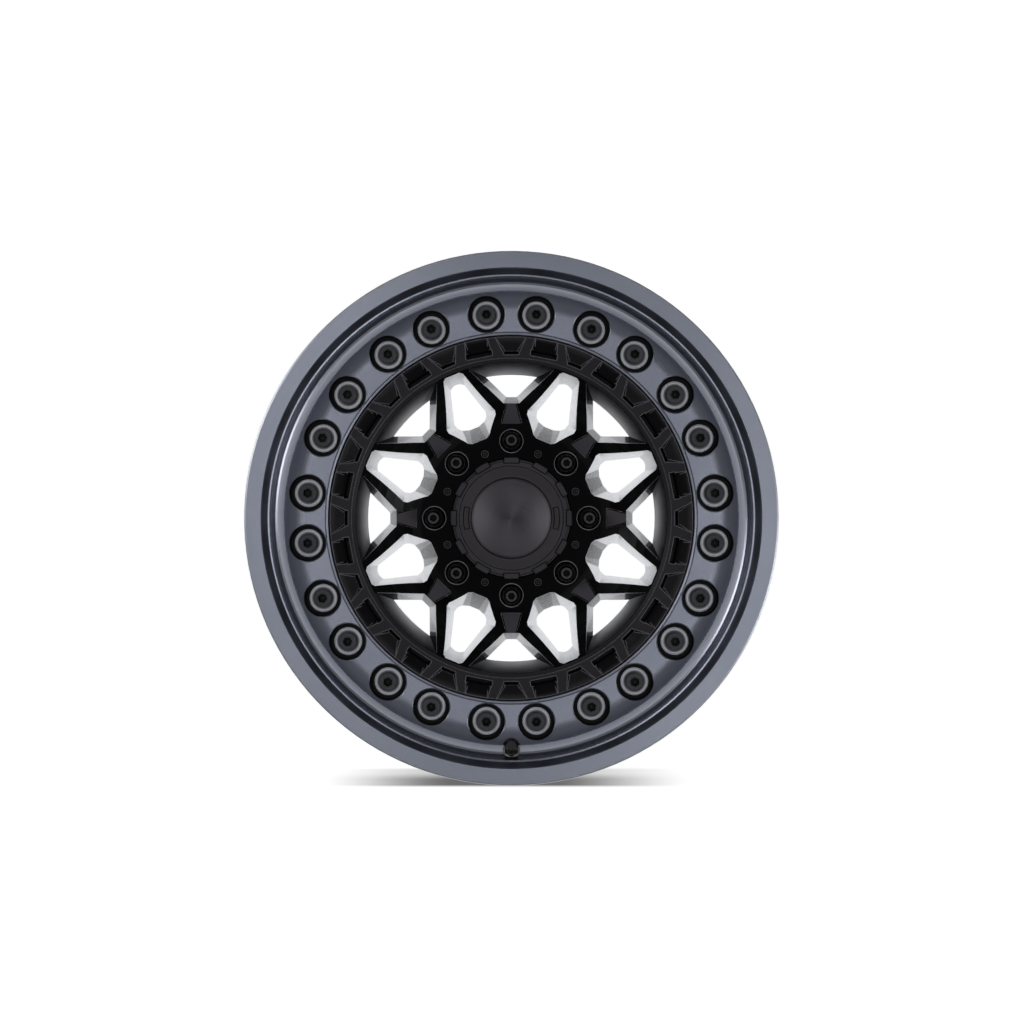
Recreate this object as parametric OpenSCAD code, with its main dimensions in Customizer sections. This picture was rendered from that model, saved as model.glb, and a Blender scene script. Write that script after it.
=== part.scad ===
// Eight-stud light-truck wheel with a bolted lock-look ring on its dished face.
// The axle is Z. The wheel lies on its rear flange with its face up,
// and the valve is at -Y.

/* [Rim] */
// Diameter over the bead seats, 20 inch
bead_d = 508; // [482.6:0.1:533.4]
// Distance between the two tyre beads, 9.5 inch
rim_w = 241.3; // [228.6:0.1:254]
// Height of a flange above the bead seat
flange_h = 17.5; // [16:0.5:19]
// Thickness of a flange, from the bead to its outer face
flange_t = 13; // [12:0.5:14.5]
// Wall of the barrel
barrel_wall = 5.5; // [5:0.25:7]
// Depth of the drop centre below the bead seats
well_depth = 20; // [18:0.5:22]
// Width of the flat floor of the drop centre
well_w = 40; // [34:1:46]
// Width of one bead seat
seat_w = 20; // [18:0.5:22]
// Height of the safety hump above the end of its bead seat
hump_h = 1.2; // [0.8:0.1:1.8]

/* [Mounting] */
// Distance of the mounting face in front of the rim's middle plane
wheel_offset = 0; // [-8:0.5:8]
// Diameter of the stud circle, 8 studs on 6.5 inch
stud_circle_d = 165.1; // [160:0.1:170]
// Diameter of the hub bore
bore_d = 125.1; // [116:0.1:128]
// Length of the hub bore's true wall, from the mounting face
bore_l = 18; // [14:0.5:20]
// Diameter of the mounting face
pad_d = 206; // [202:0.5:210]
// Thickness of the hub, from the mounting face to the lug face
hub_h = 44.7; // [40:0.1:48]
// Diameter of a stud hole
stud_hole_d = 16; // [15:0.1:17]
// Length of a stud hole's straight wall
stud_wall = 14; // [12:0.5:16]
// Full angle of the nut seat
seat_angle = 60; // [55:1:65]
// Diameter of the well that a lug nut sinks into
lug_well_d = 24; // [23.6:0.1:26]
// Diameter of the lightening pockets in the mounting face
pad_pocket_d = 22; // [16:0.5:24]
// Depth of the lightening pockets in the mounting face
pad_pocket_h = 14; // [8:0.5:16]

/* [Face] */
// Wall between the channel and the front bead seat
lip_wall = 7; // [6:0.25:8]
// Width of the flat machined lip
lip_w = 17.2; // [14:0.2:19]
// Depth of the step inside the lip
lip_step = 14; // [11:0.5:16]
// Width of the channel between the lip's wall and the ring
channel_w = 12; // [10.5:0.25:13.5]
// Depth of the ring's face below the lip
ring_sink = 30; // [27:0.5:33]
// Radial width of the pocketed band inside the ring
band_w = 26.4; // [24:0.2:28]
// Depth of the band's face below the ring's face
band_sink = 6; // [4.5:0.25:7.5]
// Radius of the flat lug face, where the dish starts
dish_r = 97; // [96:0.25:99]
// How hollow the dish is, 1 for a plain cone
dish_curve = 1.5; // [1.3:0.05:1.7]
// Depth of the spokes at the band
spoke_h = 41; // [36:0.5:44]

/* [Windows] */
// Half width of a long window at its shoulders
long_half_w = 28.7; // [26:0.1:29.5]
// Half width of a long window at its outer end
long_tip_half_w = 10.2; // [9:0.1:11]
// Half width of a long window at its inner end
long_root_half_w = 10.7; // [9:0.1:12]
// Radius of a long window's inner end at the face
long_root_r = 89; // [88.5:0.25:91]
// Radius of a long window's shoulders at the face
long_shoulder_r = 110.6; // [108:0.2:113]
// How far a long window narrows on each side towards the back
long_draft = 10; // [7:0.25:11]
// Half width of a fan window at its widest
fan_half_w = 43.1; // [41:0.1:44.5]
// Half width of a fan window at its inner end
fan_root_half_w = 8.5; // [6:0.1:9.5]
// Radius of a fan window's inner end at the face
fan_root_r = 122; // [121:0.25:124]
// How far a fan window's inner end moves out towards the back
fan_draft = 8.5; // [6:0.25:10]
// Half width of a fan window at the back
fan_back_half_w = 24.5; // [22:0.25:28]
// Height of the raised wedge behind each lug
wedge_h = 4.5; // [2.5:0.25:5.5]

/* [Band pockets] */
// Width of the rim left between the pockets and the band's inner edge
band_rim_w = 7; // [5:0.25:8]
// Half width of a wide pocket at the band's outer edge
wide_outer_half_w = 12.6; // [11:0.1:13.2]
// Half width of a wide pocket's ramp at its foot
wide_ramp_half_w = 9.8; // [8:0.1:11]
// Half width of a wide pocket at its inner edge
wide_inner_half_w = 13.9; // [12:0.1:14.2]
// Half width of a small pocket at the band's outer edge
small_outer_half_w = 18.4; // [16:0.1:19]
// Half width of a small pocket's ramp at its foot
small_ramp_half_w = 6; // [4:0.1:7]
// Half width of a small pocket at its inner edge
small_inner_half_w = 7.8; // [6.5:0.1:8.5]
// Depth of the wide pockets' slots
pocket_h = 15; // [10:0.5:17]

/* [Ring] */
// Radial width of the ring
ring_w = 45.4; // [44:0.2:47]
// Thickness of the ring
ring_t = 20; // [18:0.25:22]
// Radial width of the ring's flat face, from its inner edge
ring_flat_w = 24; // [20:0.5:28]
// How far the ring's face falls from there to its outer edge
ring_fall = 4.5; // [4.5:0.25:7]
// Gap round the ring in its seat
ring_gap = 0.4; // [0.2:0.05:0.6]
// Thread diameter of the ring's bolts
bolt_d = 12; // [10:0.5:12.5]
// Diameter of a bolt's head
bolt_head_d = 18; // [17:0.25:19]
// Height of a bolt's head
bolt_head_h = 8; // [7:0.25:9]
// Length of a bolt under its head
bolt_l = 20; // [18:0.5:22]
// Width across the flats of a bolt's socket
bolt_hex = 8.5; // [7:0.25:10]
// Diameter of a bolt's well in the ring
bolt_well_d = 38; // [36:0.2:38.6]
// Depth of a bolt's well in the ring
bolt_well_h = 12.5; // [11:0.25:13.5]
// Outer diameter of a bolt's washer
washer_d = 29; // [26:0.25:31]
// Thickness of a bolt's washer
washer_t = 2; // [1.5:0.1:2.5]
// Half angle between the two bolts of a pair
pair_a = 7; // [6.7:0.05:7.5]

/* [Lug nuts] */
// Diameter of a nut's body
nut_d = 21; // [19:0.25:22]
// Diameter of a nut's domed end
nut_end_d = 11.6; // [10:0.2:13]
// How far a nut stands out of the lug face
nut_proud = 20; // [16:0.5:24]
// Thread diameter of the studs
stud_d = 14; // [12:0.5:14.5]
// Width across the flats of the key socket in a nut's end
nut_hex = 7; // [6:0.25:8]

/* [Hub screws] */
// Diameter of the circle of small screws
hub_screw_circle_d = 148.4; // [146:0.2:150]
// Diameter of a hub screw's head
hub_screw_head_d = 8.4; // [7.5:0.1:9]
// Length of a hub screw under its head
hub_screw_l = 10; // [8:0.5:12]

/* [Cap] */
// Diameter over the cap's tabs
cap_tab_d = 130.2; // [129:0.2:132]
// Diameter of the cap between its tabs
cap_d = 122.6; // [120:0.2:124]
// Width of one tab
cap_tab_w = 15.6; // [13:0.2:18]
// Width of the slot round each tab and round the two keys
cap_slot_w = 0.8; // [0.5:0.1:1.2]
// Height of the cap's rim above the lug face
cap_h = 6; // [5:0.25:8]
// Diameter of the cap's domed disc
cap_disc_d = 85; // [82:0.25:87]
// Height of the disc's dome
cap_dome_h = 3; // [2:0.25:4]
// Wall of the cap
cap_wall = 3; // [2.5:0.1:3.5]

/* [Valve] */
// Diameter of the valve hole
valve_hole_d = 11.5; // [10.5:0.1:12]
// Lean of the valve towards the axle
valve_lean = 25; // [20:1:28]
// Length of the valve stem above the channel floor
valve_out = 15; // [13:0.5:17]
// Diameter of the valve's dust cap
valve_cap_d = 11; // [10:0.1:12]

/* [Hidden] */
$fn = 96;
eps = 0.01;
lug_count = 8;
bolt_pairs = 12;
tab_count = 12;
small_clear = 0.1;
turned_clear = 0.25;
edge = 0.8;

function two(i) = str(i < 10 ? "0" : "", i);

// Rim, from the bead seats
bead_r = bead_d / 2;
wheel_w = rim_w + 2 * flange_t;
lip_r = bead_r + flange_h;
well_r = bead_r - well_depth;
seat_drop = seat_w * tan(5);
lip_in_r = lip_r - lip_w;
channel_r = bead_r - lip_wall;

// Hub
pad_z = wheel_w / 2 + wheel_offset;
lug_z = pad_z + hub_h;
pad_r = pad_d / 2;
bore_r = bore_d / 2;
relief_r = bore_r + 1;
stud_circle_r = stud_circle_d / 2;
stud_hole_r = stud_hole_d / 2;
lug_well_r = lug_well_d / 2;
cone_z = pad_z + stud_wall;
cone_h = (lug_well_r - stud_hole_r) / tan(seat_angle / 2);

// Ring, band and dish
ring_z = wheel_w - ring_sink;
ring_seat_z = ring_z - ring_t;
ring_out_r = channel_r - channel_w;
ring_in_r = ring_out_r - ring_w;
bolt_circle_r = (ring_out_r + ring_in_r) / 2;
bolt_seat_z = ring_z - bolt_well_h;
bolt_hole_l = bolt_l + 2;
recess_r = ring_out_r + ring_gap;
band_out_r = ring_in_r - 2 * ring_gap;
band_in_r = band_out_r - band_w;
band_z = ring_z - band_sink;
band_edge_w = 3.4;
band_edge_h = 2.2;
band_back_z = band_z - spoke_h;
channel_z = ring_z - ring_fall - 3.5;

// The floor of the drop centre ends where the disc's plate begins
plate_z = ring_seat_z - 18.5;
well_top_z = plate_z + 6;
well_bottom_z = well_top_z - well_w;
inner_r = well_r - barrel_wall;

// Height of the dished face and of the spokes' back at a radius
function face_z(r) = r <= dish_r ? lug_z
  : lug_z + (band_z - band_edge_h - lug_z) * pow((r - dish_r) / (band_in_r - dish_r), dish_curve);
back_in_r = pad_r + 2;
back_out_r = band_in_r - 10.4;
function back_z(r) = pad_z + 4.4
  + (band_back_z - pad_z - 4.4) * (r - back_in_r) / (back_out_r - back_in_r);

// One flange with its bead seat and hump, as radius and distance from the outer face
flange_pts = [
  [lip_r - 2, 0],
  [lip_r - 0.6, 0.6],
  [lip_r, 2.4],
  [lip_r - 0.9, flange_t - 4],
  [lip_r - 3.5, flange_t - 1.5],
  [lip_r - 7, flange_t],
  [bead_r + 6, flange_t],
  [bead_r + 2, flange_t + 1.8],
  [bead_r, flange_t + 5.5],
  [bead_r - seat_drop, flange_t + seat_w],
  [bead_r - seat_drop + hump_h, flange_t + seat_w + 3],
  [bead_r - seat_drop + hump_h, flange_t + seat_w + 5],
  [bead_r - seat_drop - 1.5, flange_t + seat_w + 9]
];
flange_n = len(flange_pts);

dish_steps = 7;
dish_pts = [
  for (i = [0:dish_steps])
    let (r = band_in_r + (dish_r - band_in_r) * i / dish_steps)
      [r, face_z(r)]
];

casting_pts = concat(
  flange_pts,
  [
    [bead_r - 8, well_bottom_z - 30],
    [well_r, well_bottom_z],
    [well_r, well_top_z]
  ],
  [for (i = [flange_n - 1:-1:0]) [flange_pts[i][0], wheel_w - flange_pts[i][1]]],
  [
    [lip_in_r, wheel_w],
    [channel_r + 2.6, wheel_w - lip_step],
    [channel_r + 0.6, wheel_w - lip_step - 0.6],
    [channel_r, wheel_w - lip_step - 6],
    [channel_r - 0.5, channel_z + 9],
    [channel_r - 1.2, channel_z + 5],
    [channel_r - 2.4, channel_z + 2.4],
    [channel_r - 4.4, channel_z + 0.9],
    [channel_r - 7.5, channel_z + 0.3],
    [recess_r, channel_z],
    [recess_r, ring_seat_z],
    [band_out_r, ring_seat_z],
    [band_out_r, band_z - edge],
    [band_out_r - edge, band_z],
    [band_in_r + band_edge_w, band_z]
  ],
  dish_pts,
  [
    [relief_r + 1, lug_z],
    [relief_r, lug_z - 1],
    [relief_r, pad_z + bore_l],
    [bore_r, pad_z + bore_l],
    [bore_r, pad_z + edge],
    [bore_r + edge, pad_z],
    [pad_r, pad_z],
    [back_in_r, pad_z + 4.4],
    [back_out_r, band_back_z],
    [band_in_r - 2, band_back_z],
    [band_in_r + 6, plate_z],
    [inner_r - 9, plate_z],
    [inner_r - 2, plate_z - 6],
    [inner_r, plate_z - 11],
    [inner_r, well_bottom_z - 2],
    [bead_r - 8 - barrel_wall, well_bottom_z - 30],
    [bead_r - 4.5 - barrel_wall, flange_t + seat_w + 9],
    [bead_r - seat_drop - barrel_wall + 0.5, flange_t + seat_w - 2],
    [bead_r - barrel_wall, 3],
    [bead_r - barrel_wall + 3, 0]
  ]
);

// Each corner of a polygon cut back by c along both of its sides
function bevelled(pts, c) = [
  for (i = [0:len(pts) - 1])
    let (
      n = len(pts),
      p = pts[i],
      a = pts[(i + n - 1) % n] - p,
      b = pts[(i + 1) % n] - p
    )
    each [p + a / norm(a) * min(c, norm(a) * 0.4), p + b / norm(b) * min(c, norm(b) * 0.4)]
];

// A plane as its normal and its distance along it
function plane(p, q, r) = let (n = cross(q - p, r - p)) [n, n * p];

function meeting(a, b, c) =
  let (ab = cross(a[0], b[0]), bc = cross(b[0], c[0]), ca = cross(c[0], a[0]))
    (a[1] * bc + b[1] * ca + c[1] * ab) / (a[0] * bc);

// Corners that neighbouring walls make on a cap
function outline(walls, cap) = [
  for (i = [0:len(walls) - 1])
    meeting(walls[(i + len(walls) - 1) % len(walls)], walls[i], cap)
];

function on_face(p) = [p[0], p[1], face_z(norm(p))];
function on_back(p) = [p[0], p[1], back_z(norm(p))];

// Plane that climbs with y through two points of the YZ plane
function slope_plane(y0, z0, y1, z1) = plane([0, y0, z0], [1, y0, z0], [0, y1, z1]);

// Closed solid between an upper and a lower outline of as many points
module loft(upper, lower) {
  n = len(upper);
  polyhedron(
    points = concat(upper, lower),
    faces = concat(
      [[for (i = [0:n - 1]) n - 1 - i]],
      [[for (i = [0:n - 1]) n + i]],
      [for (i = [0:n - 1]) [i, (i + 1) % n, n + (i + 1) % n, n + i]]
    )
  );
}

// Cutter with flat walls. Wall i runs through corners i and i + 1 of the outline
// on the face and through point i on the back.
module window(face, back, face_cap, back_cap, face_bevel, back_bevel) {
  n = len(face);
  walls = [
    for (i = [0:n - 1])
      plane(on_face(face[i]), on_face(face[(i + 1) % n]), on_back(back[i]))
  ];
  loft(
    bevelled(outline(walls, face_cap), face_bevel),
    bevelled(outline(walls, back_cap), back_bevel)
  );
}

// A long window, drawn out along +Y
module long_window() {
  tip_r = band_in_r - 1.9;
  root_back_r = pad_r + 3.3;
  face = [
    [-long_root_half_w, long_root_r],
    [long_root_half_w, long_root_r],
    [long_half_w, long_shoulder_r],
    [long_tip_half_w, tip_r],
    [-long_tip_half_w, tip_r],
    [-long_half_w, long_shoulder_r]
  ];
  back_w = long_half_w - long_draft;
  back_tip_w = long_tip_half_w - 2.4;
  root_side = [(long_root_half_w + back_w) / 2, root_back_r + 3.9];
  side = [(back_w + back_tip_w) / 2, pad_r + 30];
  back = [
    [0, root_back_r],
    root_side,
    side,
    [0, tip_r - 7.4],
    [-side[0], side[1]],
    [-root_side[0], root_side[1]]
  ];
  window(
    face,
    back,
    slope_plane(long_root_r, lug_z + 3, tip_r, face_z(tip_r) + 3),
    slope_plane(back_in_r, pad_z - 2, back_out_r, band_back_z - 6),
    2.5,
    5
  );
}

// The fan windows' sides, drawn out along +Y
module fan_sides() {
  far_r = band_in_r + 12;
  corner_y = sqrt(pow(band_in_r - 3.8, 2) - pow(fan_half_w, 2));
  root = [fan_root_half_w, fan_root_r];
  corner = [fan_half_w, corner_y];
  mid = root * 0.4 + corner * 0.6;
  back_root = [root[0] - 1.5, root[1] + fan_draft];
  back_corner = [fan_back_half_w, back_out_r - 4.6];
  back_mid = (back_root + back_corner) / 2;
  walls = [
    plane(on_face([-root[0], root[1]]), on_face(root), on_back([0, back_root[1]])),
    plane(on_face(root), on_face(mid), on_back(back_mid)),
    plane(on_face(mid), on_face(corner), on_back(back_corner)),
    plane([0, far_r, 0], [0, far_r, 1], [-1, far_r, 0])
  ];
  mirrored = [for (i = [2:-1:1]) [[-walls[i][0][0], walls[i][0][1], walls[i][0][2]], walls[i][1]]];
  all_walls = concat(walls, mirrored);
  loft(
    outline(all_walls, slope_plane(root[1], face_z(root[1]) + 9, far_r, band_z + 14)),
    outline(all_walls, slope_plane(back_in_r, pad_z - 3, back_out_r, band_back_z - 7))
  );
}

// Fan windows: their outer wall is the cone under the band's inner edge
module fan_windows() {
  lean = (band_in_r - back_out_r) / (band_z - band_back_z);
  top = band_z + 5;
  intersection() {
    spin(lug_count)
      fan_sides();
    rotate_extrude($fn = 180)
      polygon([
        [pad_r, pad_z - 3],
        [back_out_r + 0.3 - lean * (band_back_z - pad_z + 3), pad_z - 3],
        [band_in_r - 0.1 + lean * 5, top],
        [pad_r, top]
      ]);
  }
}

// Raised wedge on the face behind a lug, drawn out along +Y
module wedge() {
  r0 = dish_r + 5;
  r1 = fan_root_r + 0.6;
  loft(
    [
      [3.6, r1, face_z(r1) + wedge_h],
      [-3.6, r1, face_z(r1) + wedge_h],
      [-10.7, r0, face_z(r0) + wedge_h * 0.3],
      [10.7, r0, face_z(r0) + wedge_h * 0.3]
    ],
    [
      [8, r1 + 1.5, face_z(r1) - 8],
      [-8, r1 + 1.5, face_z(r1) - 8],
      [-14.5, r0 - 3, face_z(r0) - 8],
      [14.5, r0 - 3, face_z(r0) - 8]
    ]
  );
}

// Pocket in the band, drawn out along +Y: a ramp falls from the band's outer edge
// to a deep slot along its inner edge. Each w is a half width.
module band_pocket(outer_w, ramp_w, inner_w, slot_w, ramp_h, slot_h) {
  r0 = band_in_r + band_rim_w;
  r1 = r0 + slot_w;
  r2 = band_out_r - 0.5;
  side = (outer_w - inner_w) / (r2 - r0);
  fall = ramp_h / (r2 - r1);
  loft(
    [
      [inner_w, r0 + 0.2, band_z + 1],
      [outer_w + side * 3, r2 + 3, band_z + 1],
      [-outer_w - side * 3, r2 + 3, band_z + 1],
      [-inner_w, r0 + 0.2, band_z + 1]
    ],
    [
      [ramp_w - (outer_w - ramp_w) * 0.2, r0 + 0.2, band_z - ramp_h - fall * slot_w],
      [outer_w - 0.6, r2 + 3, band_z + fall * 3],
      [0.6 - outer_w, r2 + 3, band_z + fall * 3],
      [(outer_w - ramp_w) * 0.2 - ramp_w, r0 + 0.2, band_z - ramp_h - fall * slot_w]
    ]
  );
  loft(
    [
      [inner_w, r0, band_z + 1],
      [inner_w, r1, band_z + 1],
      [-inner_w, r1, band_z + 1],
      [-inner_w, r0, band_z + 1]
    ],
    [
      [inner_w - 1.4, r0 + 0.8, band_z - slot_h],
      [inner_w - 1.4, r1 - 0.8, band_z - slot_h],
      [1.4 - inner_w, r1 - 0.8, band_z - slot_h],
      [1.4 - inner_w, r0 + 0.8, band_z - slot_h]
    ]
  );
}

module spin(count, first = 0) {
  for (i = [0:count - 1])
    rotate([0, 0, first + 360 * i / count])
      children();
}

// Places its children on the ring's bolt circle, n counted from the top pair
module at_bolt(n) {
  a = 90 + (n % 2 == 0 ? 1 : -1) * pair_a + floor(n / 2) * 360 / bolt_pairs;
  rotate([0, 0, a])
    translate([bolt_circle_r, 0, 0])
      children();
}

module at_lug(n) {
  rotate([0, 0, 90 + 360 * n / lug_count])
    translate([stud_circle_r, 0, 0])
      children();
}

module at_hub_screw(n) {
  rotate([0, 0, 90 + 360 * (n + 0.5) / lug_count])
    translate([hub_screw_circle_d / 2, 0, 0])
      children();
}

// Valve axes: the channel floor is at z = 0 and the stem's free end points up
valve_r = recess_r + 5.6;
module at_valve() {
  rotate([0, 0, -90])
    translate([valve_r, 0, channel_z])
      rotate([0, -valve_lean, 0])
        children();
}

// Screw heads
hub_screw_head_h = 3;
hub_screw_sink = hub_screw_head_h - 0.4;
hub_screw_r = 2.5;

// Valve seats, measured along the valve
valve_seat_out = -0.6;
valve_seat_in = -8;
valve_seat_r = 8.6;
valve_reach = 60;

// Wheel casting

module stud_hole() {
  translate([0, 0, pad_z - 1])
    cylinder(r = stud_hole_r, h = stud_wall + 1 + eps);
  translate([0, 0, cone_z])
    cylinder(r1 = stud_hole_r, r2 = lug_well_r, h = cone_h);
  translate([0, 0, cone_z + cone_h - eps])
    cylinder(r = lug_well_r, h = wheel_w - cone_z - cone_h);
  translate([0, 0, lug_z - edge])
    cylinder(r1 = lug_well_r, r2 = lug_well_r + 2 * edge, h = 2 * edge);
}

module wheel_casting() {
  color([0.05, 0.05, 0.055])
    difference() {
      union() {
        rotate_extrude($fn = 180)
          polygon(casting_pts);
        spin(lug_count)
          wedge();
      }
      spin(lug_count, 180 / lug_count)
        long_window();
      fan_windows();
      spin(2 * lug_count, 90 / lug_count)
        band_pocket(wide_outer_half_w, wide_ramp_half_w, wide_inner_half_w, 6.2, 6, pocket_h);
      spin(2 * lug_count)
        band_pocket(small_outer_half_w, small_ramp_half_w, small_inner_half_w, 4, 4, pocket_h - 2);
      for (n = [0:lug_count - 1]) {
        at_lug(n)
          stud_hole();
        at_hub_screw(n) {
          translate([0, 0, lug_z - hub_screw_sink])
            cylinder(d = hub_screw_head_d + 2 * turned_clear, h = 10, $fn = 40);
          translate([0, 0, lug_z - hub_screw_sink - hub_screw_l - 2])
            cylinder(r = hub_screw_r + small_clear, h = hub_screw_l + 3, $fn = 24);
        }
        rotate([0, 0, 90 + 360 * (n + 0.5) / lug_count])
          translate([stud_circle_r, 0, pad_z - 1])
            cylinder(d = pad_pocket_d, h = pad_pocket_h + 1);
      }
      for (n = [0:2 * bolt_pairs - 1])
        at_bolt(n)
          translate([0, 0, bolt_seat_z + washer_t - bolt_hole_l])
            cylinder(r = bolt_d / 2 + small_clear, h = bolt_hole_l, $fn = 32);
      at_valve() {
        translate([0, 0, -valve_reach])
          cylinder(d = valve_hole_d, h = 2 * valve_reach, $fn = 40);
        translate([0, 0, valve_seat_out])
          cylinder(r = valve_seat_r, h = 16, $fn = 48);
        translate([0, 0, valve_seat_in - 30])
          cylinder(r = valve_seat_r + 1, h = 30, $fn = 48);
      }
    }
}

// Ring

// The ring's face is flat inside and rolls off towards its outer edge
module ring_section() {
  c = 1.6;
  groove = 0.5;
  roll_r = ring_in_r + ring_flat_w;
  roll_w = ring_out_r - edge - roll_r;
  steps = 8;
  polygon(concat(
    [
      [ring_in_r, ring_seat_z],
      [ring_out_r, ring_seat_z],
      [ring_out_r, ring_z - ring_fall - edge]
    ],
    [
      for (i = [steps:-1:0])
        [roll_r + roll_w * i / steps, ring_z - ring_fall * pow(i / steps, 2)]
    ],
    [
      [ring_in_r + c + 2 * groove, ring_z],
      [ring_in_r + c + groove, ring_z - groove],
      [ring_in_r + c, ring_z],
      [ring_in_r, ring_z - c]
    ]
  ));
}

module lock_ring() {
  color([0.42, 0.45, 0.5])
    difference() {
      rotate_extrude($fn = 180)
        ring_section();
      for (n = [0:2 * bolt_pairs - 1])
        at_bolt(n) {
          translate([0, 0, ring_seat_z - 1])
            cylinder(r = bolt_d / 2 + 2 * turned_clear, h = ring_t + 2, $fn = 32);
          translate([0, 0, bolt_seat_z])
            cylinder(d = bolt_well_d, h = bolt_well_h + 1, $fn = 72);
          translate([0, 0, ring_z - 1])
            cylinder(d1 = bolt_well_d, d2 = bolt_well_d + 3, h = 1.5, $fn = 72);
        }
      at_valve()
        translate([0, 0, -20])
          cylinder(r = valve_seat_r + 1.4, h = 50, $fn = 48);
    }
}

module ring_washers() {
  bevel = 0.8;
  color([0.16, 0.16, 0.17])
    for (n = [0:2 * bolt_pairs - 1])
      at_bolt(n)
        translate([0, 0, bolt_seat_z])
          difference() {
            union() {
              cylinder(d = washer_d, h = washer_t - bevel, $fn = 60);
              translate([0, 0, washer_t - bevel])
                cylinder(d1 = washer_d, d2 = washer_d - 4.4 * bevel, h = bevel, $fn = 60);
            }
            translate([0, 0, -1])
              cylinder(r = bolt_d / 2 + turned_clear, h = washer_t + 2, $fn = 32);
          }
}

module hex_socket(flats, depth) {
  translate([0, 0, -depth])
    rotate([0, 0, 30])
      cylinder(r = flats / 2 / cos(30), h = depth + 1, $fn = 6);
}

// Socket-head bolt standing on z = 0 under its head
module ring_bolt() {
  r = bolt_d / 2;
  h = bolt_head_h;
  color([0.1, 0.1, 0.11])
    difference() {
      rotate_extrude($fn = 48)
        polygon([
          [0, -bolt_l],
          [r - 1, -bolt_l],
          [r, 1 - bolt_l],
          [r, 0],
          [bolt_head_d / 2, 0],
          [bolt_head_d / 2, h - 1],
          [bolt_head_d / 2 - 1, h],
          [0, h]
        ]);
      translate([0, 0, h])
        hex_socket(bolt_hex, h * 0.6);
    }
}

// Lug nut, drawn from the mounting face upwards on its stud's axis
module lug_nut() {
  seat = tan(seat_angle / 2);
  r0 = stud_hole_r + 0.5;
  r1 = lug_well_r - turned_clear;
  z0 = cone_z + (r0 - stud_hole_r) / seat;
  z1 = cone_z + (r1 - stud_hole_r) / seat;
  top = lug_z + nut_proud;
  rb = nut_d / 2;
  re = nut_end_d / 2;
  color([0.07, 0.07, 0.075])
    difference() {
      rotate_extrude($fn = 60)
        polygon([
          [0, z0],
          [r0, z0],
          [r1, z1],
          [r1, z1 + 1.4],
          [rb + 0.6, z1 + 2.6],
          [rb, z1 + 4],
          [rb, lug_z + 4],
          [rb - 1.2, lug_z + 8],
          [re + 2.2, top - 4],
          [re + 1, top - 1.2],
          [re, top],
          [0, top]
        ]);
      translate([0, 0, z0 - 1])
        cylinder(d = stud_d - 1.6, h = top - z0 - 10, $fn = 32);
      translate([0, 0, z0 - 0.2])
        cylinder(d1 = stud_d + 0.4, d2 = stud_d - 1.6, h = 1.2, $fn = 32);
      translate([0, 0, top])
        hex_socket(nut_hex, 6);
      spin(6)
        translate([rb + 1, 0, z1 + 6])
          cylinder(r = 2.2, h = 60, $fn = 20);
    }
}

module hub_screw() {
  hr = hub_screw_head_d / 2;
  r = hub_screw_r;
  color([0.12, 0.12, 0.13])
    difference() {
      rotate_extrude($fn = 36)
        polygon([
          [0, -hub_screw_l],
          [r - 0.6, -hub_screw_l],
          [r, 0.6 - hub_screw_l],
          [r, 0],
          [hr, 0],
          [hr, hub_screw_head_h - 1],
          [hr - 0.5, hub_screw_head_h - 0.3],
          [hr - 1.4, hub_screw_head_h],
          [0, hub_screw_head_h]
        ]);
      translate([0, 0, hub_screw_head_h])
        hex_socket(3, 1.8);
    }
}

// Cap: the tabs rest on the lug face and the skirt enters the relieved bore
skirt_r = relief_r - 0.5;
skirt_h = 14;
disc_r = cap_disc_d / 2;
cap_band_z = lug_z + cap_h + 1.4;
disc_seat_z = lug_z + cap_h - 2;

// The spring's wire presses on the bore and rests on the floor of its groove
spring_r = 1.1;
spring_play = 0.05;
spring_mid_r = relief_r - spring_r;
spring_z = lug_z - 9;

module cap_profile() {
  polygon([
    [disc_r - 5, lug_z + 0.4],
    [skirt_r - cap_wall, lug_z - 2.6],
    [skirt_r - cap_wall, lug_z - skirt_h],
    [skirt_r - 1, lug_z - skirt_h],
    [skirt_r, lug_z - skirt_h + 1],
    [skirt_r, lug_z],
    [cap_d / 2, lug_z],
    [cap_d / 2, lug_z + cap_h - 1.2],
    [cap_d / 2 - 1.2, lug_z + cap_h],
    [cap_d / 2 - 4.8, lug_z + cap_h],
    [cap_d / 2 - 5.2, lug_z + cap_h - 0.8],
    [cap_d / 2 - 6, lug_z + cap_h - 0.8],
    [cap_d / 2 - 6.6, lug_z + cap_h + 0.2],
    [disc_r + 3, cap_band_z],
    [disc_r + 1.6, cap_band_z],
    [disc_r + turned_clear, cap_band_z - 1.2],
    [disc_r + turned_clear, disc_seat_z],
    [0, disc_seat_z],
    [0, lug_z + 0.4]
  ]);
}

// Slot on three sides of a tab
module tab_slot() {
  w = cap_tab_w + 2 * cap_slot_w;
  translate([cap_d / 2 - 2 - cap_slot_w, -w / 2, lug_z + cap_h - 1.5])
    difference() {
      cube([20, w, 3]);
      translate([cap_slot_w, cap_slot_w, -1])
        cube([20, cap_tab_w, 5]);
    }
}

// One of the two raised keys on the cap's band, or the pocket that it stands in
module cap_key(gap, z, h) {
  spread = 13 + gap;
  for (a = [0, 180])
    rotate([0, 0, a - spread])
      rotate_extrude(angle = 2 * spread)
        translate([disc_r + 4 - gap, z])
          square([4 + 2 * gap, h]);
}

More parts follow.
